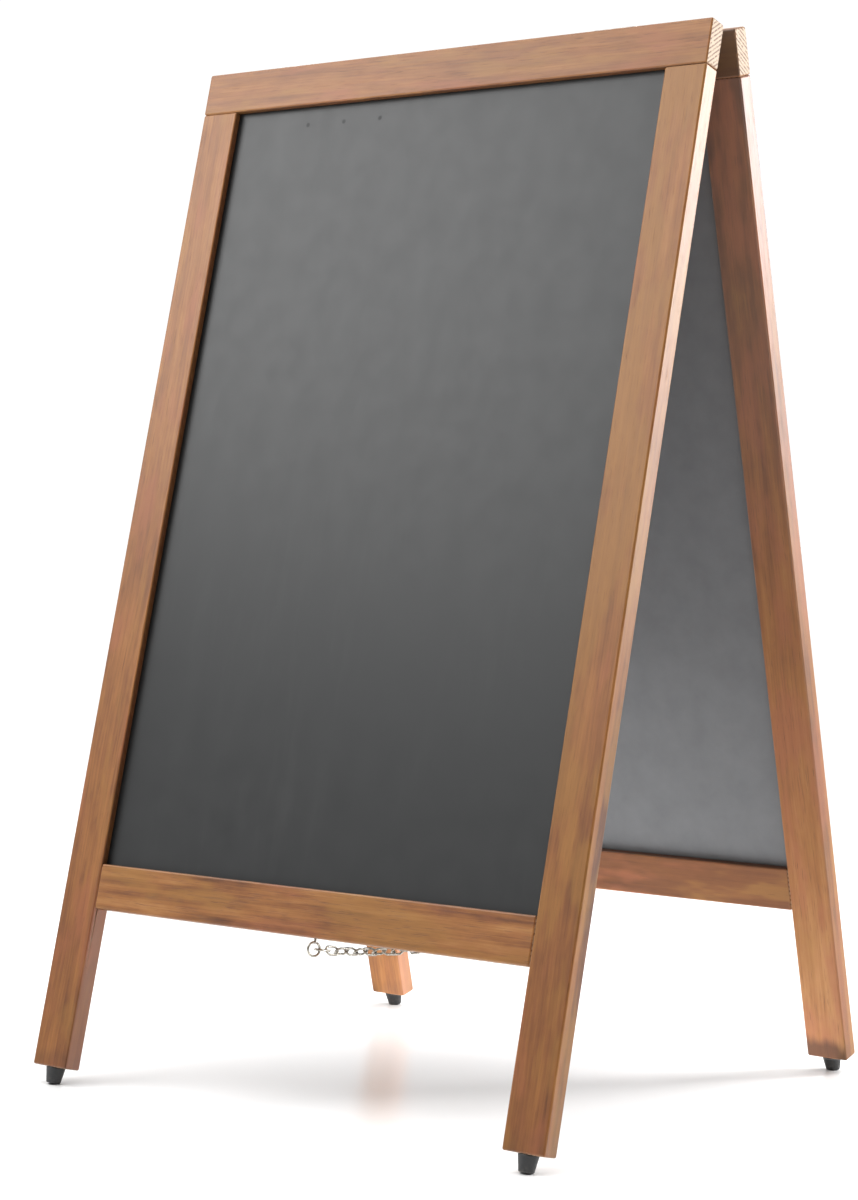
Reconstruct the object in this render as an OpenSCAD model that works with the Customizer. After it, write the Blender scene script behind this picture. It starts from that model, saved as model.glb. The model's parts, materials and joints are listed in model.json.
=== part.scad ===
// Folding sandwich board: two hinged hardwood frames, each with a chalkboard let into a groove,
// held open at the foot by a chain. The frames stand on four rubber feet.
// X is across the board, -Y is the front, +Z is up. The origin is on the ground, in the middle.

/* [Frames] */
// Width of each frame
frame_w = 600; // [400:10:800]
// Length of each stile plus the top rail above it, without the rubber foot
frame_l = 1020; // [800:10:1200]
// Thickness of the timber
timber_t = 20; // [16:1:24]
// Width of the stiles and rails
timber_w = 44; // [38:1:60]
// Distance from the top edge to the lower edge of the bottom rail
panel_l = 864; // [600:2:900]
// Angle of each frame from the vertical when the board stands open
lean = 14.2; // [10:0.1:18]
// Gap between the two frames when they are folded together
fold_gap = 18; // [10:1:24]

/* [Chalkboards] */
// Thickness of each chalkboard
board_t = 4; // [3:0.5:6]
// Depth of the groove that holds the chalkboard
groove_d = 6; // [4:0.5:8]

/* [Hinges] */
// Distance of each hinge from the middle of the board
hinge_x = 190; // [120:5:200]
// Length of a hinge along its pin
hinge_l = 50; // [40:5:80]
// Width of one hinge leaf, from the pin's centre to its edge
leaf_w = 25; // [22:1:27]
// Thickness of a hinge leaf
leaf_t = 1.6; // [1.2:0.1:2]
// Diameter of a hinge pin
hinge_pin_d = 3.2; // [2.5:0.1:3.6]

/* [Feet] */
// Height of a rubber foot along the leg
foot_h = 16; // [10:1:25]
// Diameter of a foot where it meets the leg
foot_top_d = 19; // [14:1:20]
// Diameter of a foot near the ground
foot_low_d = 13.5; // [11:0.5:14]

/* [Chain] */
// Number of links in the chain
link_count = 32; // [28:1:36]
// Links that stay with the front frame when the chain's halves swing apart
front_link_count = 18; // [14:1:19]
// Diameter of the chain's wire
link_wire = 2.2; // [1.8:0.1:2.4]
// Width of a link over its wires
link_w = 10; // [9.5:0.5:12]
// Sag of the chain at its middle
chain_sag = 21; // [16:1:35]
// Distance from the middle of the board to the chain
chain_x = 9; // [-40:1:40]

/* [Screw eyes] */
// Outer diameter of a screw eye's ring
eye_d = 15; // [14:0.5:17]
// Diameter of a screw eye's wire
eye_wire = 2.4; // [2:0.1:2.8]

/* [Hidden] */
$fn = 64;

// The standing height, and the gap between the inner top edges, follow from the lean
knuckle_r = 3;
pin_rise = knuckle_r;
top_gap = fold_gap * cos(lean) + 2 * pin_rise * sin(lean);
top_z = (frame_l + foot_h) * cos(lean) - timber_t / 2 * sin(lean);

// Timber
half_w = frame_w / 2;
stile_x = half_w - timber_w / 2;
opening_w = frame_w - 2 * timber_w;
opening_top = timber_w;
opening_low = panel_l - timber_w;
board_play = 0.5;
board_face_play = 0.1;
groove_w = board_t + 2 * board_face_play;

// Dowels: two in each joint
dowel_r = 4;
dowel_l = 50;
dowel_end = 1;
dowel_chamfer = 1.5;
dowel_margin = 13;

// Foot parts
foot_seat = 6;
foot_short = 0.6;
foot_socket_r = 4.2;
washer_r = 4;
washer_t = 1;
foot_screw_r = 1.75;
foot_screw_l = 20;
pan_r = 3.4;
pan_h = 2.2;
pan_round = 0.6;

// Hinge parts
knuckle_count = 5;
knuckle_gap = 0.25;
knuckle_l = (hinge_l - (knuckle_count - 1) * knuckle_gap) / knuckle_count;
leaf_relief = 0.3;
pin_play = 0.05;
pin_head_r = 2.4;
pin_head_h = 1;
pin_head_round = 0.6;
screw_from_pin = fold_gap / 2 + timber_t / 2;
screw_pitch = 17;
screw_r = 1.75;
screw_head_r = 3.3;
screw_l = 20;
screw_point = 4;
recess_l = 3.6;
recess_w = 0.8;
recess_d = 1.1;
screw_tip_r = 0.2;

// Screw eyes: their rings hang below the bottom rails, each turned a little from the chain. The
// chain runs beside a ring's middle, so that a link clears its wire with the board open and folded
eye_drop = 2.5;
eye_ring_r = (eye_d - eye_wire) / 2;
front_eye_turn = 20;
rear_eye_turn = 8;
eye_open = 25;
eye_shank_r = 1.3;
eye_shank_l = 24;
eye_play = 0.25;
eye_s = panel_l + eye_drop + eye_d / 2;
eye_y = top_gap / 2 + eye_s * sin(lean) + timber_t / 2 * cos(lean);
eye_z = top_z - eye_s * cos(lean) + timber_t / 2 * sin(lean);

// Chain: its links follow an arc from eye to eye. Its two halves run side by side, a lane each.
link_play = 0.2;
link_bend_r = (link_w - link_wire) / 2;
link_lap = link_wire + link_play;
eye_slack = link_bend_r - (eye_wire + link_wire) / 2 - eye_play;
eye_reach = eye_ring_r * cos(front_eye_turn) - link_bend_r
  + sqrt(pow(eye_slack, 2) - pow(eye_shift(front_eye_turn), 2));
end_angle = 2 * atan2(chain_sag, eye_y - eye_reach);
arc_r = (eye_y - eye_reach * cos(end_angle)) / sin(end_angle);
arc_z = eye_z - eye_reach * sin(end_angle) + arc_r * cos(end_angle);
arc_l = arc_r * 2 * end_angle * PI / 180;
link_pitch = (arc_l - link_lap) / link_count;
link_straight = link_pitch + link_lap - 2 * link_bend_r;
lane = 5.2;
front_x = chain_x + lane;
rear_x = lane - chain_x;
front_upper = 10;
rear_upper = 9;
rear_link_count = link_count - front_link_count;

// How far a ring's middle is from the chain
function eye_shift(turn) = eye_ring_r * sin(turn) / 2;

// A frame's own pieces are drawn with Z up the frame from its top edge and -Y as its outer face
module on_front() {
  translate([0, -top_gap / 2, top_z]) rotate([-lean, 0, 0]) children();
}

module on_rear() {
  rotate([0, 0, 180]) on_front() children();
}

module wood() {
  color("sienna") children();
}

module steel() {
  color("silver") children();
}

// A plain bar of timber from x1 to x2 and from s1 to s2 below the top edge
module timber(x1, x2, s1, s2) {
  translate([x1, -timber_t, -s2]) cube([x2 - x1, timber_t, s2 - s1]);
}

// The groove runs round the opening and holds the chalkboard's edges
module board_groove() {
  translate([-opening_w / 2 - groove_d, -(timber_t + groove_w) / 2, -opening_low - groove_d])
    cube([opening_w + 2 * groove_d, groove_w, opening_low - opening_top + 2 * groove_d]);
}

// Dowels: two stand in each joint of stile and top rail, two lie in each of the bottom rail's
module at_dowels() {
  for (side = [-1, 1]) {
    for (x = [half_w - dowel_margin, half_w - timber_w + dowel_margin])
      translate([side * x, -timber_t / 2, -timber_w]) children();
    for (s = [opening_low + dowel_margin, panel_l - dowel_margin])
      translate([side * opening_w / 2, -timber_t / 2, -s]) rotate([0, 90, 0]) children();
  }
}

module dowel_hole() {
  cylinder(r = dowel_r, h = dowel_l + 2 * dowel_end, center = true);
}

module dowel() {
  cylinder(r = dowel_r, h = dowel_l - 2 * dowel_chamfer, center = true);
  for (end = [0, 1]) mirror([0, 0, end])
    translate([0, 0, dowel_l / 2 - dowel_chamfer])
      cylinder(r1 = dowel_r, r2 = dowel_r - dowel_chamfer / 2, h = dowel_chamfer);
}

// A straight hole that runs down from the origin
module hole_down(r, depth) {
  translate([0, 0, -depth]) cylinder(r = r, h = depth);
}

// A cross recess for a screwdriver, cut down into a head from the origin
module cross_recess() {
  for (turn = [0, 90]) rotate([0, 0, turn])
    translate([-recess_l / 2, -recess_w / 2, -recess_d]) cube([recess_l, recess_w, 2 * recess_d]);
}

// Hinge screws stand in the top edge of the rail, their heads level with the leaf
module at_hinge_screws() {
  for (side = [-1, 1]) for (i = [-1:1])
    translate([side * hinge_x + i * screw_pitch, fold_gap / 2 - screw_from_pin, leaf_t])
      children();
}

module countersunk_screw() {
  head_h = screw_head_r - screw_r;
  difference() {
    union() {
      hole_down(screw_r, screw_l - screw_point);
      translate([0, 0, -head_h]) cylinder(r1 = screw_r, r2 = screw_head_r, h = head_h);
      translate([0, 0, -screw_l]) cylinder(r1 = screw_tip_r, r2 = screw_r, h = screw_point);
    }
    cross_recess();
  }
}

module hinge_screws() {
  steel() at_hinge_screws() countersunk_screw();
}

// Feet stand in the middle of each leg's end, side -1 or 1
module at_foot(side) {
  translate([side * stile_x, -timber_t / 2, -frame_l]) children();
}

module foot_body() {
  slope = (foot_top_d - foot_low_d) / 2 / foot_h;
  long = foot_h - foot_short;
  difference() {
    translate([0, 0, -long])
      cylinder(r1 = foot_top_d / 2 - slope * long, r2 = foot_top_d / 2, h = long);
    hole_down(foot_screw_r, long);
    translate([0, 0, -foot_seat]) hole_down(foot_socket_r, long);
  }
}

// A foot stands on its inner edge, which is worn level with the ground
module foot(side) {
  color("dimgray") difference() {
    on_front() at_foot(side) foot_body();
    translate([-frame_w, -frame_l, -foot_h]) cube([2 * frame_w, 2 * frame_l, foot_h]);
  }
}

module foot_washers() {
  steel() for (side = [-1, 1]) at_foot(side) difference() {
    translate([0, 0, -foot_seat]) hole_down(washer_r, washer_t);
    hole_down(foot_screw_r, foot_h);
  }
}

module foot_screws() {
  seat = foot_seat + washer_t;
  steel() for (side = [-1, 1]) at_foot(side) {
    translate([0, 0, -seat]) cylinder(r = foot_screw_r, h = seat + foot_screw_l - screw_point);
    translate([0, 0, foot_screw_l - screw_point])
      cylinder(r1 = foot_screw_r, r2 = screw_tip_r, h = screw_point);
    translate([0, 0, -seat]) rotate([180, 0, 0]) difference() {
      cylinder(r1 = pan_r, r2 = pan_r - pan_round, h = pan_h);
      translate([0, 0, pan_h]) cross_recess();
    }
  }
}

module top_rail() {
  wood() difference() {
    timber(-half_w, half_w, 0, timber_w);
    board_groove();
    at_dowels() dowel_hole();
    at_hinge_screws() hole_down(screw_r, screw_l);
  }
}

module stile(side) {
  wood() difference() {
    mirror([side < 0 ? 1 : 0, 0, 0]) timber(half_w - timber_w, half_w, timber_w, frame_l);
    board_groove();
    at_dowels() dowel_hole();
    at_foot(side) cylinder(r = foot_screw_r, h = 2 * foot_screw_l, center = true);
  }
}

module bottom_rail(x, turn) {
  wood() difference() {
    timber(-opening_w / 2, opening_w / 2, opening_low, panel_l);
    board_groove();
    at_dowels() dowel_hole();
    at_eye(x, turn) cylinder(r = eye_shank_r, h = eye_ring_r + eye_shank_l);
  }
}

module chalkboard() {
  w = opening_w + 2 * groove_d - 2 * board_play;
  low = opening_low + groove_d - board_play;
  top = opening_top - groove_d + board_play;
  color("darkslategray") translate([-w / 2, -(timber_t + board_t) / 2, -low])
    cube([w, board_t, low - top]);
}

module dowels() {
  color("burlywood") at_dowels() dowel();
}

// The pin's place on a frame, side -1 or 1
module at_hinge(side) {
  translate([side * hinge_x, fold_gap / 2, pin_rise]) children();
}

// A leaf lies along its pin, which is on X. Its knuckles are every second one from the first.
module hinge_leaf(first, bore_r) {
  clear = knuckle_r + leaf_relief;
  steel() difference() {
    union() {
      translate([-hinge_l / 2, -leaf_w, -pin_rise]) cube([hinge_l, leaf_w - clear, leaf_t]);
      for (i = [first:2:knuckle_count - 1])
        translate([-hinge_l / 2 + i * (knuckle_l + knuckle_gap), 0, 0]) {
          rotate([0, 90, 0]) cylinder(r = knuckle_r, h = knuckle_l);
          translate([0, -clear, -pin_rise]) cube([knuckle_l, clear, leaf_t]);
        }
    }
    rotate([0, 90, 0]) cylinder(r = bore_r, h = 2 * hinge_l, center = true);
    for (i = [-1:1]) translate([i * screw_pitch, -screw_from_pin, leaf_t - pin_rise]) {
      hole_down(screw_r, 2 * leaf_t);
      translate([0, 0, screw_r - screw_head_r])
        cylinder(r1 = screw_r, r2 = screw_head_r, h = screw_head_r - screw_r);
    }
  }
}

module hinge_pin() {
  steel() rotate([0, 90, 0]) {
    cylinder(d = hinge_pin_d, h = hinge_l, center = true);
    for (end = [0, 1]) mirror([0, 0, end]) translate([0, 0, hinge_l / 2])
      cylinder(r1 = pin_head_r, r2 = pin_head_r - pin_head_round, h = pin_head_h);
  }
}

// The middle of the screw eye's ring for a chain at x
module at_eye(x, turn) {
  translate([x - eye_shift(turn), -timber_t / 2, -eye_s]) rotate([0, 0, -turn]) children();
}

// A shank stands in the rail, and its wire bends round to end just short of the shank
module screw_eye(x, turn) {
  steel() at_eye(x, turn) {
    rotate([0, 90, 0]) rotate([0, 0, 180]) {
      rotate_extrude(angle = 360 - eye_open) translate([eye_ring_r, 0]) circle(d = eye_wire);
      rotate([0, 0, -eye_open]) translate([eye_ring_r, 0, 0]) sphere(d = eye_wire);
      translate([eye_ring_r, 0, 0]) sphere(r = eye_shank_r);
    }
    translate([0, 0, eye_ring_r]) cylinder(r = eye_shank_r, h = eye_shank_l);
  }
}

// A link lies along Y about its centre
module link() {
  for (end = [0, 1]) mirror([0, end, 0]) {
    translate([0, link_straight / 2, 0])
      rotate_extrude(angle = 180) translate([link_bend_r, 0]) circle(d = link_wire);
    for (side = [-1, 1]) translate([side * link_bend_r, 0, 0])
      rotate([-90, 0, 0]) cylinder(d = link_wire, h = link_straight / 2);
  }
}

// Links lean 45 degrees each way in turn. The first lies flat in its eye, and where the chain
// bends, one lies flat in the next, which stands upright. Those beside them lean part of the way.
function link_turn(i, bend) =
  let (even = i % 2 == 0, even_bend = bend % 2 == 0)
  i == 0 || i == bend - 1 ? 0
  : i == bend ? 90
  : i == 1 ? 68
  : i == bend - 2 ? (even_bend ? 112 : 68)
  : i == bend + 1 ? (even_bend ? 157 : 23)
  : i < bend == even ? 135 : 45;

// Links from one number to another, counted from the eye that they hang on
module links(from, to, x, bend) {
  steel() for (i = [from:to]) {
    angle = ((i + 0.5) * link_pitch + link_lap / 2) / arc_r * 180 / PI - end_angle;
    translate([x, arc_r * sin(angle), arc_z - arc_r * cos(angle)])
      rotate([angle, 0, 0]) rotate([0, link_turn(i, bend), 0]) link();
  }
}

module front_links(from, to) {
  links(from, to, front_x, front_upper);
}

module rear_links(from, to) {
  rotate([0, 0, 180]) links(from, to, rear_x, rear_upper);
}

on_front() top_rail();  // front_top_rail
on_front() stile(-1);  // front_left_stile
on_front() stile(1);  // front_right_stile
on_front() bottom_rail(front_x, front_eye_turn);  // front_bottom_rail
on_front() chalkboard();  // front_chalkboard
on_front() dowels();  // front_dowels
on_rear() top_rail();  // rear_top_rail
on_rear() stile(1);  // rear_left_stile
on_rear() stile(-1);  // rear_right_stile
on_rear() bottom_rail(rear_x, rear_eye_turn);  // rear_bottom_rail
on_rear() chalkboard();  // rear_chalkboard
on_rear() dowels();  // rear_dowels
foot(-1);  // front_left_foot
foot(1);  // front_right_foot
rotate([0, 0, 180]) foot(1);  // rear_left_foot
rotate([0, 0, 180]) foot(-1);  // rear_right_foot
on_front() foot_washers();  // front_foot_washers
on_rear() foot_washers();  // rear_foot_washers
on_front() foot_screws();  // front_foot_screws
on_rear() foot_screws();  // rear_foot_screws
on_front() at_hinge(-1) hinge_leaf(0, hinge_pin_d / 2);  // left_hinge_front_leaf
on_rear() at_hinge(1) hinge_leaf(1, hinge_pin_d / 2 + pin_play);  // left_hinge_rear_leaf
on_front() at_hinge(-1) hinge_pin();  // left_hinge_pin
on_front() at_hinge(1) hinge_leaf(0, hinge_pin_d / 2);  // right_hinge_front_leaf
on_rear() at_hinge(-1) hinge_leaf(1, hinge_pin_d / 2 + pin_play);  // right_hinge_rear_leaf
on_front() at_hinge(1) hinge_pin();  // right_hinge_pin
on_front() hinge_screws();  // front_hinge_screws
on_rear() hinge_screws();  // rear_hinge_screws
on_front() screw_eye(front_x, front_eye_turn);  // front_screw_eye
on_rear() screw_eye(rear_x, rear_eye_turn);  // rear_screw_eye
front_links(0, front_upper - 1);  // front_chain_upper
front_links(front_upper, front_link_count - 1);  // front_chain_lower
rear_links(0, rear_upper - 1);  // rear_chain_upper
rear_links(rear_upper, rear_link_count - 1);  // rear_chain_lower
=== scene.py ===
"""Looks of the folding sandwich board: stained hardwood frames, chalkboards, feet, hinges and chain."""
import json
import math

import bpy
from mathutils import Matrix, Vector

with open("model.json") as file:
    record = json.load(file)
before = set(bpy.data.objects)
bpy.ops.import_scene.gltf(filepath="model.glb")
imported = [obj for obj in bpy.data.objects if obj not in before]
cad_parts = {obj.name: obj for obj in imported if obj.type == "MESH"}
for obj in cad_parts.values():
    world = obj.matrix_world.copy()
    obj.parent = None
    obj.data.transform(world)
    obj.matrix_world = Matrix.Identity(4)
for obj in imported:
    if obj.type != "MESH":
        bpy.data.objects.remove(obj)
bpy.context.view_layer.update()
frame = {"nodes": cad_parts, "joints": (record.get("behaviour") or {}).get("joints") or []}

nodes = frame["nodes"]

# ---------------------------------------------------------------- places taken from the frame

FRAMES = ("front", "rear")
fold = next(j for j in frame["joints"] if j["name"] == "fold")
# with the board open, each frame leans by half of the fold
LEAN = math.radians(abs(fold["range_deg"][0])) / 2


def upright(frame_name):
    """The turn that stands one of the two frames upright, with its outer face towards -Y."""
    half_turn = Matrix.Rotation(math.pi, 3, "Z") if frame_name == "rear" else Matrix.Identity(3)
    return Matrix.Rotation(LEAN, 3, "X") @ half_turn


def turned_points(name, turn):
    return [turn @ v.co for v in nodes[name].data.vertices]


def corners(points):
    """The lowest and the highest corner of the box round some points."""
    low = Vector([min(p[i] for p in points) for i in range(3)])
    high = Vector([max(p[i] for p in points) for i in range(3)])
    return low, high


def piece_space(name):
    """A piece's own space: its turn, its middle and its half size, with Z along it and Y through it."""
    turn = upright(name.split("_")[0])
    low, high = corners(turned_points(name, turn))
    if high.x - low.x > high.z - low.z:
        turn = Matrix.Rotation(-math.pi / 2, 3, "Y") @ turn
        low, high = corners(turned_points(name, turn))
    return turn, (low + high) / 2, (high - low) / 2


# ---------------------------------------------------------------- node helpers

class Graph:
    """The node tree of a material or world. Colours go in as red, green and blue."""

    def __init__(self, owner):
        self.owner = owner
        owner.use_nodes = True
        self.tree = owner.node_tree
        self.tree.nodes.clear()

    def add(self, kind, inputs=None, **settings):
        """A new node, with its sockets linked or set."""
        made = self.tree.nodes.new("ShaderNode" + kind)
        for key, value in settings.items():
            setattr(made, key, value)
        for key, value in (inputs or {}).items():
            socket = made.inputs[key]
            if isinstance(value, bpy.types.NodeSocket):
                self.tree.links.new(value, socket)
            elif socket.type == "RGBA":
                socket.default_value = (*value, 1)
            else:
                socket.default_value = value
        return made

    def math(self, operation, a, b=0.0, c=0.0):
        return self.add("Math", {0: a, 1: b, 2: c}, operation=operation).outputs[0]

    def mix(self, factor, a, b):
        """Colour a where the factor is 0, colour b where it is 1."""
        return self.add("Mix", {0: factor, 6: a, 7: b}, data_type="RGBA").outputs[2]

    def mix_value(self, factor, a, b):
        return self.add("Mix", {0: factor, 2: a, 3: b}, data_type="FLOAT").outputs[0]

    def steps(self, value, low, high, to_low=0.0, to_high=1.0):
        """The value moved smoothly from the range low..high to to_low..to_high."""
        made = self.add("MapRange", {0: value, 1: low, 2: high, 3: to_low, 4: to_high},
                        interpolation_type="SMOOTHSTEP")
        return made.outputs[0]

    def ramp(self, value, stops):
        made = self.add("ValToRGB", {0: value})
        elements = made.color_ramp.elements
        while len(elements) < len(stops):
            elements.new(0.5)
        for element, (place, colour) in zip(elements, stops):
            element.position = place
            element.color = (*colour, 1)
        return made.outputs[0]

    def noise(self, point, scale, detail=2.0, roughness=0.5, distortion=0.0):
        made = self.add("TexNoise", {"Vector": point, "Scale": scale, "Detail": detail,
                                     "Roughness": roughness, "Distortion": distortion})
        return made.outputs[0]

    def stretched(self, point, scale, shift=(0, 0, 0)):
        made = self.add("Mapping", {"Vector": point, "Scale": scale, "Location": shift})
        return made.outputs[0]

    def own_point(self):
        """The surface point in the object's own space."""
        return self.add("TexCoord").outputs["Object"]

    def piece_point(self, turn, middle):
        """The surface point in a piece's space."""
        made = self.add("Mapping", {"Vector": self.own_point(), "Rotation": turn.to_euler("XYZ"),
                                    "Location": -middle})
        return made.outputs[0]

    def piece_normal(self, turn):
        """Which way the surface faces, in a piece's space."""
        normal = self.add("TexCoord").outputs["Normal"]
        made = self.add("Mapping", {"Vector": normal, "Rotation": turn.to_euler("XYZ")},
                        vector_type="NORMAL")
        return made.outputs[0]

    def parts(self, vector):
        return self.add("SeparateXYZ", {0: vector}).outputs[:3]

    def bump(self, height, strength, distance):
        made = self.add("Bump", {"Height": height, "Strength": strength, "Distance": distance})
        return made.outputs[0]

    def finish(self, **inputs):
        """Ends the tree in a Principled shader and gives the finished material."""
        shader = self.add("BsdfPrincipled", {k.replace("_", " "): v for k, v in inputs.items()})
        self.add("OutputMaterial", {"Surface": shader.outputs[0]})
        return self.owner


def material_graph(name):
    return Graph(bpy.data.materials.new(name))


def dress(name, material):
    """Gives a CAD node its material."""
    data = nodes[name].data
    data.materials.clear()
    data.materials.append(material)


ARRIS_SEGMENTS = 3
SHARP_ANGLE = math.radians(40)
WELD_DISTANCE = 1e-6


def ease(name, width):
    """Rounds a CAD node's arrises."""
    piece = nodes[name]
    weld = piece.modifiers.new("weld", "WELD")
    weld.merge_threshold = WELD_DISTANCE
    bevel = piece.modifiers.new("arris", "BEVEL")
    bevel.width = width
    bevel.segments = ARRIS_SEGMENTS
    bevel.limit_method = "ANGLE"
    bevel.angle_limit = SHARP_ANGLE
    bevel.use_clamp_overlap = False
    bevel.harden_normals = True


# ---------------------------------------------------------------- stained hardwood

STAIN_DARK = (0.099, 0.031, 0.008)
STAIN_DEEP = (0.202, 0.071, 0.017)
STAIN_MID = (0.282, 0.109, 0.026)
STAIN_PALE = (0.374, 0.168, 0.050)
STAIN_ROSE = (0.302, 0.096, 0.038)
STAIN_GOLD = (0.292, 0.135, 0.026)
STAIN_STOPS = [(0.0, STAIN_DARK), (0.3, STAIN_DEEP), (0.55, STAIN_MID), (0.9, STAIN_PALE)]
# the end grain's colour, painted pale as the highlight on it
END_PALE_HIGHLIGHT = (0.520, 0.390, 0.270)
END_DARK = (0.120, 0.055, 0.025)
# painted shade for the top rails' inner faces, in the gap between the two frames
RAIL_INNER_SHADE = (0.055, 0.043, 0.035)
# dark stain soaked into the legs' ends, also used as painted shade on the edge beside the board
DARK_STAIN_AND_SHADE = (0.050, 0.018, 0.008)
# painted pale light for the legs' inner edges below the board
PAINTED_LEG_EDGE_LIGHT = (0.540, 0.280, 0.200)
# painted grey bounce light for the stiles' inner faces
PAINTED_BOUNCE_GREY = (0.400, 0.390, 0.380)

# noise in the timber: its scale across the grain and along it, its detail and its roughness
WANDER = (12, 2.6, 3.0, 0.6)
STREAKS = (130, 5.5, 3.0, 0.55)
CLOUDS = (26, 7, 3.0, 0.6)
FIBRES = (900, 16, 2.0, 0.6)
BLOTCHES = (85, 30, 3.0, 0.6)
PATCHES = (34, 9, 3.0, 0.6)
PORES = (1500, 46, 1.0, 0.5)
SAWING = (240, 40, 2.0, 0.5)
SCUFFS = (60, 18, 3.0, 0.65)
# how far one step of a piece's seed moves its noises
SEED_STEPS = (0.37, 0.71, 1.13)

# growth rings: how many in a metre, how far they wander in metres, and where in a ring its
# late wood begins, is darkest and ends
RINGS_PER_METRE = 290.0
RING_WANDER = 0.040
LATE_BEGINS = 0.25
LATE_DARKEST = 0.86
LATE_ENDS = 0.90

# how much the late wood and the noises change the tone
LATE_WEIGHT = -0.06
STREAK_WEIGHT = 0.75
CLOUD_WEIGHT = 0.45
FIBRE_WEIGHT = 0.34
BLOTCH_WEIGHT = 0.36

# marks on the surface: the noise at which each begins and is full, and its cover at those places
ROSY = (0.50, 0.68, 0.0, 0.55)
GOLDEN = (0.48, 0.32, 0.0, 0.50)
PORE = (0.36, 0.28, 0.0, 0.55)
SCUFFED = (0.52, 0.72, 0.0, 0.55)

# saw strokes across the ends: how slanting and ragged they are, how many radians there are in a
# metre, how soft their edges are, and the noise at which they break off and are whole
STROKE_SLANT = 0.9
STROKE_RAGGED = 0.0016
STROKE_PITCH = 1350.0
STROKE_EDGE = (-0.3, 0.7)
STROKE_GAPS = (0.30, 0.55)
STROKE_COVER = 0.9
END_COVER = 0.9

# how squarely a surface has to face an axis to begin to be, and to be in full, a side face or an end
SIDE_FACE = (0.6, 0.9)
END_FACE = (0.7, 0.95)

# wear, weather, and painted light and shade: the places where each fades in, in metres in the piece's
# space, and its cover
BAND_HEIGHT = (0.04, -0.14)
BAND_ACROSS = (-0.004, 0.001, 0.16, -0.28)
FILM_HEIGHT = (-0.15, 0.30, 0.0, 0.14)
WET_REACH = 0.034
WET_EDGE = (0.004, -0.010)
WET_OUTER = 0.25
BOARD_FADE = 0.004
RUBBED_EDGE = (0.0026, 0.0006)
RAIL_INNER_SHADE_COVER = 0.7
BESIDE_BOARD_SHADE_COVER = 0.65
PAINTED_LEG_EDGE_LIGHT_COVER = 0.36

# the wood's roughness and relief, and what the fibres, the pores and the saw add to them
WOOD_ROUGH = 0.34
FIBRE_ROUGH = 0.16
END_ROUGH = 0.2
FIBRE_HEIGHT = 0.5
PORE_DEPTH = 1.2
STROKE_DEPTH = 2.0
WOOD_RELIEF = (0.3, 0.00025)


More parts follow.
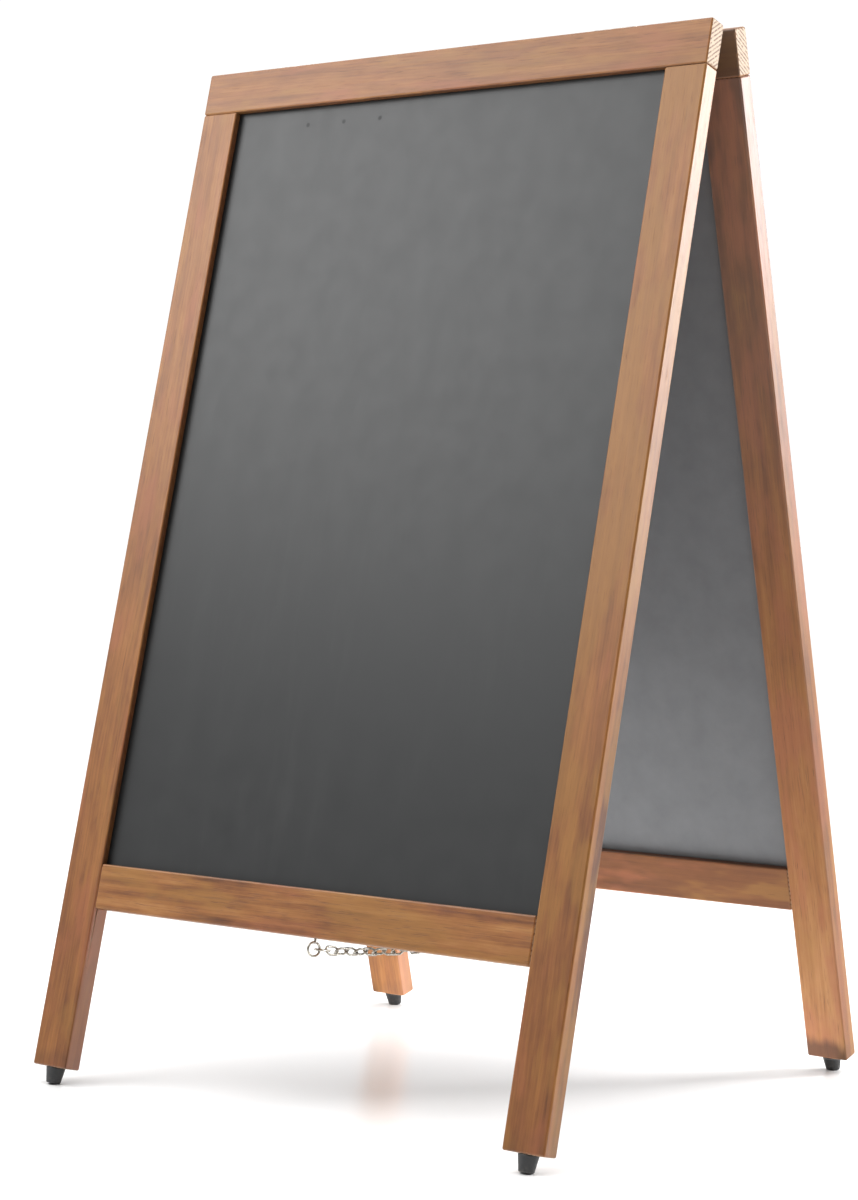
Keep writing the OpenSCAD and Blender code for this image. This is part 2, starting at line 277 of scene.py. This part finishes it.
class Timber(Graph):
    """The stained hardwood of one piece of the frames, drawn in the piece's own space."""

    def __init__(self, name, seed):
        super().__init__(bpy.data.materials.new(name + "_wood"))
        turn, middle, self.half = piece_space(name)
        self.point = self.piece_point(turn, middle)
        self.x, self.y, self.z = self.parts(self.point)
        self.normal = self.parts(self.piece_normal(turn))
        self.shift = tuple(seed * step for step in SEED_STEPS)
        low, high = corners(turned_points(name.split("_")[0] + "_chalkboard", turn))
        self.board_side = math.copysign(1, low.x + high.x - 2 * middle.x)
        self.board_low = low.z - middle.z

    def grain(self, noise, backwards=False):
        """One of the timber's noises, moved by the piece's shift or by that shift turned backwards."""
        across, along, detail, roughness = noise
        shift = self.shift[::-1] if backwards else self.shift
        point = self.stretched(self.point, (across, across, along), shift)
        return self.noise(point, 1.0, detail, roughness)

    def faces(self, axis, sign=1):
        """1 on the faces that are square to an axis, on its side of that sign, and 0 elsewhere."""
        return self.steps(self.math("MULTIPLY", self.normal[axis], sign), *SIDE_FACE)

    def late_wood(self, pith):
        """The dark part of the growth rings, which wander slowly along the piece."""
        wave = self.math("MULTIPLY_ADD", self.grain(WANDER), RING_WANDER, -RING_WANDER / 2)
        across = self.math("ADD", self.math("SUBTRACT", self.x, pith[0]), wave)
        through = self.math("SUBTRACT", self.y, pith[1])
        squares = self.math("ADD", self.math("MULTIPLY", across, across),
                            self.math("MULTIPLY", through, through))
        ring = self.math("FRACT", self.math("MULTIPLY", self.math("SQRT", squares), RINGS_PER_METRE))
        return self.math("MULTIPLY", self.steps(ring, LATE_BEGINS, LATE_DARKEST),
                         self.steps(ring, 1.0, LATE_ENDS))

    def figure(self, pith, fibres):
        """How much lighter or darker than its tone the timber is."""
        value = self.math("MULTIPLY", self.late_wood(pith), LATE_WEIGHT)
        for noise, weight in ((self.grain(STREAKS), STREAK_WEIGHT), (self.grain(CLOUDS), CLOUD_WEIGHT),
                              (fibres, FIBRE_WEIGHT), (self.grain(BLOTCHES), BLOTCH_WEIGHT)):
            value = self.math("ADD", value, self.math("MULTIPLY_ADD", noise, weight, -weight / 2))
        return value

    def painted_side_highlight(self, outer):
        """Low on a stile's outer edge, paler beside the writing face and darker behind that: a painted
        highlight with painted shade behind it.
        """
        low = self.math("MULTIPLY", outer, self.steps(self.z, *BAND_HEIGHT))
        return self.math("MULTIPLY", low, self.steps(self.y, *BAND_ACROSS))

    def stain(self, value, patches, pores):
        colour = self.ramp(value, STAIN_STOPS)
        colour = self.mix(self.steps(patches, *ROSY), colour, STAIN_ROSE)
        colour = self.mix(self.steps(patches, *GOLDEN), colour, STAIN_GOLD)
        return self.mix(pores, colour, STAIN_DARK)

    def saw_strokes(self):
        """The slanting strokes that a saw leaves on end grain."""
        ragged = self.grain(SAWING)
        slant = self.math("MULTIPLY_ADD", self.y, STROKE_SLANT, self.x)
        slant = self.math("MULTIPLY_ADD", ragged, STROKE_RAGGED, slant)
        stroke = self.math("SINE", self.math("MULTIPLY", slant, STROKE_PITCH))
        return self.math("MULTIPLY", self.steps(stroke, *STROKE_EDGE), self.steps(ragged, *STROKE_GAPS))

    def painted_bounce_tint(self, colour):
        """A grey tint high on a stile's inner face, painted in as the grey bounce light that falls
        there.
        """
        film = self.math("MULTIPLY", self.faces(1), self.steps(self.z, *FILM_HEIGHT))
        return self.mix(film, colour, PAINTED_BOUNCE_GREY)

    def wetted(self, colour, outer, patches, cover):
        """A leg's end stained by the wet street, less so on its outer edge."""
        from_foot = self.math("ADD", self.z, self.half.z)
        edge = self.math("MULTIPLY_ADD", patches, -WET_REACH, from_foot)
        wet = self.steps(edge, *WET_EDGE, 0.0, cover)
        dry = self.math("MULTIPLY_ADD", outer, WET_OUTER - 1.0, 1.0)
        return self.mix(self.math("MULTIPLY", wet, dry), colour, DARK_STAIN_AND_SHADE)

    def painted_edge_shade_and_light(self, colour):
        """Painted shade on the edge beside the board, and painted pale light on the legs' edges below
        it.
        """
        edge = self.faces(0, self.board_side)
        beside = self.steps(self.z, self.board_low, self.board_low + BOARD_FADE)
        beside_shade = self.math("MULTIPLY", beside, BESIDE_BOARD_SHADE_COVER)
        below_light = self.math("MULTIPLY_ADD", beside, -PAINTED_LEG_EDGE_LIGHT_COVER, PAINTED_LEG_EDGE_LIGHT_COVER)
        colour = self.mix(self.math("MULTIPLY", edge, beside_shade), colour, DARK_STAIN_AND_SHADE)
        return self.mix(self.math("MULTIPLY", edge, below_light), colour, PAINTED_LEG_EDGE_LIGHT)

    def rubbed(self):
        """The arrises, in patches: there the second smallest distance to the piece's faces is small."""
        away = [self.math("SUBTRACT", half, self.math("ABSOLUTE", place))
                for half, place in zip(self.half, (self.x, self.y, self.z))]
        near = self.math("MINIMUM", away[0], away[1])
        far = self.math("MAXIMUM", away[0], away[1])
        second = self.math("MAXIMUM", near, self.math("MINIMUM", far, away[2]))
        return self.math("MULTIPLY", self.steps(second, *RUBBED_EDGE),
                         self.steps(self.grain(SCUFFS), *SCUFFED))


def wood_material(name, pith, tone, drift, warmth, figure, seed):
    """Satin stained hardwood with its grain along one piece, as TIMBERS describes it."""
    t = Timber(name, seed)
    fibres = t.grain(FIBRES)
    pores = t.steps(t.grain(PORES), *PORE)
    patches = t.math("SUBTRACT", t.grain(PATCHES, backwards=True), warmth)
    outer = t.faces(0, -t.board_side)
    on_end = t.steps(t.math("ABSOLUTE", t.normal[2]), *END_FACE)
    strokes = t.saw_strokes()

    drifted = t.math("MULTIPLY_ADD", t.z, drift, tone)
    value = t.math("MULTIPLY_ADD", t.figure(pith, fibres), figure, drifted)
    # a painted highlight low on each stile's outer edge, with painted shade behind it
    if "stile" in name:
        value = t.math("ADD", value, t.painted_side_highlight(outer))
    colour = t.stain(value, patches, pores)

    # end grain is painted pale as the highlight on it, and dark where the saw tore it
    end_colour = t.mix(t.math("MULTIPLY", strokes, STROKE_COVER), END_PALE_HIGHLIGHT, END_DARK)
    colour = t.mix(t.math("MULTIPLY", on_end, END_COVER), colour, end_colour)

    # painted shade on the top rails' inner faces, between the two frames
    if "top_rail" in name:
        colour = t.mix(t.math("MULTIPLY", t.faces(1), RAIL_INNER_SHADE_COVER), colour, RAIL_INNER_SHADE)
    # painted grey bounce light high on each stile's inner face, then the wet street's stain at each
    # leg's end
    if "stile" in name:
        colour = t.wetted(t.painted_bounce_tint(colour), outer, patches, WET_COVER[name])
    # painted shade on the edge beside the board, painted light on the legs' inner edges below it, and
    # rubbed arrises over both
    colour = t.mix(t.rubbed(), t.painted_edge_shade_and_light(colour), STAIN_PALE)

    rough = t.math("MULTIPLY_ADD", fibres, FIBRE_ROUGH, WOOD_ROUGH)
    rough = t.math("MULTIPLY_ADD", on_end, END_ROUGH, rough)
    height = t.math("MULTIPLY", fibres, FIBRE_HEIGHT)
    height = t.math("MULTIPLY_ADD", pores, -PORE_DEPTH, height)
    height = t.math("MULTIPLY_ADD", t.math("MULTIPLY", strokes, on_end), -STROKE_DEPTH, height)
    return t.finish(Base_Color=colour, Roughness=rough, Normal=t.bump(height, *WOOD_RELIEF))


# each piece's pith, the middle of its growth rings; its tone; the drift of its tone along it;
# how golden it is; and how strong its figure is
TIMBERS = {
    "front_top_rail": ((-0.09, 0.03), 0.50, 0.05, 0.0, 1.1),
    "front_left_stile": ((0.11, 0.035), 0.48, 0.26, -0.02, 1.2),
    "front_right_stile": ((-0.10, -0.03), 0.44, 0.25, 0.10, 1.0),
    "front_bottom_rail": ((0.012, 0.05), 0.49, -0.05, 0.05, 1.8),
    "rear_top_rail": ((-0.08, 0.04), 0.46, 0.0, 0.0, 1.2),
    "rear_left_stile": ((0.09, 0.03), 0.54, 0.0, 0.05, 1.2),
    "rear_right_stile": ((-0.12, 0.035), 0.47, -0.70, -0.05, 1.1),
    "rear_bottom_rail": ((0.03, -0.05), 0.15, -0.22, -0.03, 0.5),
}
# how strongly the wet street has stained the end of each leg
WET_COVER = {
    "front_left_stile": 0.25,
    "front_right_stile": 0.15,
    "rear_left_stile": 0.15,
    "rear_right_stile": 0.75,
}
ARRIS = 0.0020
SEED_FIRST = 1
SEED_NEXT = 3.7

for number, (name, timber) in enumerate(TIMBERS.items()):
    dress(name, wood_material(name, *timber, SEED_FIRST + SEED_NEXT * number))
    ease(name, ARRIS)


# ---------------------------------------------------------------- other materials

BEECH_DARK = (0.45, 0.28, 0.15)
BEECH_PALE = (0.66, 0.48, 0.30)
BEECH_FLECKS = (900, 900, 200)
BEECH_CLOUDS = 60.0
BEECH_ROUGH = (0.5, 0.75)
BEECH_RELIEF = (0.3, 0.0002)


def dowel_material():
    """Plain beech with small flecks."""
    g = material_graph("dowel_beech")
    point = g.own_point()
    flecks = g.noise(g.stretched(point, BEECH_FLECKS), 1.0)
    value = g.mix_value(0.5, flecks, g.noise(point, BEECH_CLOUDS))
    return g.finish(Base_Color=g.ramp(value, [(0.3, BEECH_DARK), (0.7, BEECH_PALE)]),
                    Roughness=g.steps(flecks, 0, 1, *BEECH_ROUGH),
                    Normal=g.bump(flecks, *BEECH_RELIEF))


BOARD_DARK = (0.0145, 0.0155, 0.0160)
BOARD_PALE = (0.0225, 0.0235, 0.0240)
BOARD_BACK_DARK = (0.127, 0.131, 0.137)
BOARD_BACK_PALE = (0.150, 0.154, 0.160)
BOARD_BACK_ROUGH = 0.6
BOARD_GLOSS = 0.47
BOARD_ROUGH = (0.36, 0.42)
BOARD_RELIEF = (0.12, 0.0001)
CHALK = (0.160, 0.160, 0.155)
CHALK_COVER = 0.05
CHALK_ROUGH = 0.04
# noise in the board: its scale, detail, roughness and distortion
TOOTH = (3200.0, 1.0)
MOTTLE = (34.0, 4.0, 0.6)
WIPES = (1.0, 4.0, 0.65, 0.4)
WIPE_STRETCH = (40, 40, 5)
HAZE = (5.0, 3.0, 0.55)
# the noise at which each of these begins to show and shows in full
MOTTLED = (0.2, 0.8)
WIPED = (0.45, 0.75)
HAZED = (0.4, 0.7)
# three small pin marks near the top of the front board: their places across it, how far below
# its upper edge they are, their radius, their colour and how much gloss they lack
PIN_MARKS = (-0.1640, -0.1182, -0.0729)
PIN_DROP = 0.0240
PIN_RADIUS = 0.0030
PIN_COLOUR = (0.010, 0.010, 0.011)
PIN_DULL = 0.20


def pin_marks(g, point, half):
    """1 inside the pin marks and 0 outside them."""
    marks = 0.0
    for place in PIN_MARKS:
        middle = (place, -half.y, half.z - PIN_DROP)
        off = g.add("VectorMath", {0: point, 1: middle}, operation="DISTANCE")
        mark = g.steps(off.outputs["Value"], PIN_RADIUS, PIN_RADIUS / 2)
        marks = g.math("MAXIMUM", mark, marks)
    return marks


def board_material(name):
    """A satin writing surface with faint wipe marks and a fine tooth, and a plain grey back."""
    turn, middle, half = piece_space(name)
    g = material_graph(name + "_face")
    point = g.piece_point(turn, middle)
    mottle = g.noise(point, *MOTTLE)
    wipes = g.noise(g.stretched(point, WIPE_STRETCH), *WIPES)
    chalk = g.math("MULTIPLY", g.steps(wipes, *WIPED), g.steps(g.noise(point, *HAZE), *HAZED))
    colour = g.mix(g.math("MULTIPLY", mottle, 0.5), BOARD_DARK, BOARD_PALE)
    colour = g.mix(g.math("MULTIPLY", chalk, CHALK_COVER), colour, CHALK)
    gloss = BOARD_GLOSS
    if name == "front_chalkboard":
        pricked = pin_marks(g, point, half)
        colour = g.mix(pricked, colour, PIN_COLOUR)
        gloss = g.math("MULTIPLY_ADD", pricked, -PIN_DULL, BOARD_GLOSS)
    back = g.ramp(mottle, [(0.3, BOARD_BACK_DARK), (0.7, BOARD_BACK_PALE)])
    inside = g.math("GREATER_THAN", g.parts(point)[1], 0.0)
    rough = g.math("MULTIPLY_ADD", chalk, CHALK_ROUGH, g.steps(mottle, *MOTTLED, *BOARD_ROUGH))
    return g.finish(Base_Color=g.mix(inside, colour, back),
                    Roughness=g.mix_value(inside, rough, BOARD_BACK_ROUGH),
                    Specular_IOR_Level=gloss, Normal=g.bump(g.noise(point, *TOOTH), *BOARD_RELIEF))


RUBBER = (0.028, 0.029, 0.030)
STREET_DUST = (0.160, 0.150, 0.135)
RUBBER_GRAIN = 2600.0
RUBBER_ROUGH = (0.52, 0.78)
RUBBER_RELIEF = (0.35, 0.00015)
DUST_NOISE = (260.0, 4.0, 0.65)
DUST_PATCHES = (0.45, 0.75)
# street dust thins out up to this height, and its cover there and on the ground
DUST_HEIGHT = 0.012
DUST_COVER = (0.15, 0.55)


def rubber_material():
    """Matt black rubber, dusty near the ground."""
    g = material_graph("black_rubber")
    point = g.own_point()
    dust = g.steps(g.noise(point, *DUST_NOISE), *DUST_PATCHES)
    low = g.steps(g.parts(point)[2], DUST_HEIGHT, 0.0, *DUST_COVER)
    return g.finish(Base_Color=g.mix(g.math("MULTIPLY", dust, low), RUBBER, STREET_DUST),
                    Roughness=g.steps(dust, 0, 1, *RUBBER_ROUGH),
                    Normal=g.bump(g.noise(point, RUBBER_GRAIN), *RUBBER_RELIEF))


# zinc plating: how much finer its spots are than its mottle, their share in its tarnish, how much
# rougher tarnish is, the noise at which it is full and gone, and the relief
SPOT_SCALE = 4.3
SPOT_SHARE = 0.4
TARNISH_ROUGH = 0.2
TARNISH_EDGE = (0.3, 0.65)
STEEL_RELIEF = (0.15, 0.0001)


def steel_material(name, bright, dull, rough, scale):
    """Zinc-plated steel with a faint crystalline mottle and small dull spots."""
    g = material_graph(name)
    point = g.own_point()
    mottle = g.noise(point, scale, 3.0, 0.6)
    spots = g.noise(point, scale * SPOT_SCALE, 2.0, 0.6)
    shine = g.mix_value(SPOT_SHARE, mottle, spots)
    return g.finish(Base_Color=g.ramp(shine, [(0.32, dull), (0.58, bright)]), Metallic=1.0,
                    Roughness=g.steps(shine, *TARNISH_EDGE, rough + TARNISH_ROUGH, rough),
                    Normal=g.bump(spots, *STEEL_RELIEF))


for frame_name in FRAMES:
    dress(f"{frame_name}_chalkboard", board_material(f"{frame_name}_chalkboard"))

# each steel's bright colour, dull colour, roughness and the scale of its mottle
STEELS = {
    "hinge_steel": ((0.46, 0.45, 0.43), (0.28, 0.27, 0.26), 0.42, 160.0),
    "screw_steel": ((0.62, 0.60, 0.56), (0.30, 0.29, 0.27), 0.28, 420.0),
    "chain_steel": ((0.56, 0.53, 0.47), (0.26, 0.24, 0.20), 0.24, 330.0),
}
steels = {name: steel_material(name, *steel) for name, steel in STEELS.items()}
# the last of these words in a node's name tells its material
MATERIALS = {
    "dowels": dowel_material(),
    "foot": rubber_material(),
    "screws": steels["screw_steel"],
    "washers": steels["screw_steel"],
    "chain": steels["chain_steel"],
    "eye": steels["chain_steel"],
    "hinge": steels["hinge_steel"],
}
FOOT_ARRIS = 0.0010

for name in nodes:
    words = name.split("_")
    known = [w for w in words if w in MATERIALS]
    if known:
        dress(name, MATERIALS[known[-1]])
    if words[-1] == "foot":
        ease(name, FOOT_ARRIS)


# ---------------------------------------------------------------- stage, light and camera

CAMERA_PLACE = (1.5413, -2.1207, 0.5576)
YAW = math.radians(36.598)
PITCH = math.radians(-1.889)
ROLL = math.radians(0.621)
LENS = 80.02
SENSOR = 36


def add_camera():
    data = bpy.data.cameras.new("camera")
    data.lens = LENS
    data.sensor_width = SENSOR
    camera = bpy.data.objects.new("camera", data)
    camera.location = CAMERA_PLACE
    upward = Matrix.Rotation(math.pi / 2 + PITCH, 3, "X")
    turn = Matrix.Rotation(YAW, 3, "Z") @ upward @ Matrix.Rotation(ROLL, 3, "Z")
    camera.rotation_euler = turn.to_euler()
    bpy.context.collection.objects.link(camera)
    bpy.context.scene.camera = camera


FLOOR_REACH = 40.0
FLOOR_DARK = (0.945, 0.945, 0.950)
FLOOR_PALE = (0.955, 0.955, 0.955)
FLOOR_CLOUDS = (3.0, 3.0)
FLOOR_ROUGH = (0.195, 0.205)
FLOOR_GLOSS = 0.5


def add_floor():
    """A wide white floor with a soft sheen."""
    r = FLOOR_REACH
    mesh = bpy.data.meshes.new("floor")
    mesh.from_pydata([(-r, -r, 0), (r, -r, 0), (r, r, 0), (-r, r, 0)], [], [(0, 1, 2, 3)])
    floor = bpy.data.objects.new("floor", mesh)
    bpy.context.collection.objects.link(floor)
    g = material_graph("floor")
    clouds = g.noise(g.own_point(), *FLOOR_CLOUDS)
    mesh.materials.append(g.finish(Base_Color=g.ramp(clouds, [(0.2, FLOOR_DARK), (0.8, FLOOR_PALE)]),
                                   Roughness=g.steps(clouds, 0, 1, *FLOOR_ROUGH),
                                   Specular_IOR_Level=FLOOR_GLOSS))


# how bright the surroundings are: level and below, straight up, the share of that which is left
# on the camera's side, and the backdrop as the camera sees it
LEVEL_LIGHT = 0.8
OVERHEAD_LIGHT = 4.1
CAMERA_SIDE = 0.12
BACKDROP = 1.05
# how squarely a direction has to point to the camera, or upward, for these to begin and be full
TOWARD_CAMERA = (-0.2, 0.8)
UPWARD = (0.6, 1.0)


def add_world():
    """White all round, brighter overhead and dimmer on the camera's side."""
    world = bpy.data.worlds.new("studio")
    bpy.context.scene.world = world
    g = Graph(world)
    direction = g.add("TexCoord").outputs["Generated"]
    to_camera = (math.sin(YAW), -math.cos(YAW), 0)
    toward = g.add("VectorMath", {0: direction, 1: to_camera}, operation="DOT_PRODUCT")
    dim = g.steps(toward.outputs["Value"], *TOWARD_CAMERA, 1.0, CAMERA_SIDE)
    over = g.steps(g.parts(direction)[2], *UPWARD, LEVEL_LIGHT, OVERHEAD_LIGHT)
    seen = g.add("LightPath").outputs["Is Camera Ray"]
    strength = g.mix_value(seen, g.math("MULTIPLY", dim, over), BACKDROP)
    background = g.add("Background", {"Color": (1, 1, 1), "Strength": strength})
    g.add("OutputWorld", {"Surface": background.outputs[0]})


# each softbox's place, the point that it faces, its size, its radiance and whether gloss reflects it
SOFTBOXES = {
    "key": ((-1.38, -1.4, 1.97), (0, 0, 0.75), (1.6, 1.5), 4.6, True),
    "back": ((1.24, 1.55, 1.36), (0.3, 0, 0.80), (0.6, 0.8), 26.0, True),
    "low": ((1.36, 1.55, 0.70), (0.3, 0, 0.60), (0.26, 0.5), 23.0, True),
    "bounce": ((0, 0.14, 0.012), (0, 0.14, 1), (0.58, 0.26), 3.0, False),
    "under": ((0, 0, 0.42), (0, 0, 0), (0.42, 0.22), 0.7, False),
}


def add_softbox(name, place, target, size, radiance, reflected):
    """A soft rectangular light whose face is turned to the target. The camera doesn't see it."""
    data = bpy.data.lights.new(name, "AREA")
    data.shape = "RECTANGLE"
    width, height = size
    data.size = width
    data.size_y = height
    data.energy = radiance * math.pi * width * height
    light = bpy.data.objects.new(name, data)
    light.location = place
    light.rotation_euler = (Vector(place) - Vector(target)).to_track_quat("Z", "Y").to_euler()
    light.visible_camera = False
    light.visible_glossy = reflected
    bpy.context.collection.objects.link(light)


add_camera()
add_floor()
add_world()
for name, softbox in SOFTBOXES.items():
    add_softbox(name, *softbox)
bpy.context.scene.view_settings.view_transform = "Standard"
bpy.context.scene.view_settings.look = "None"
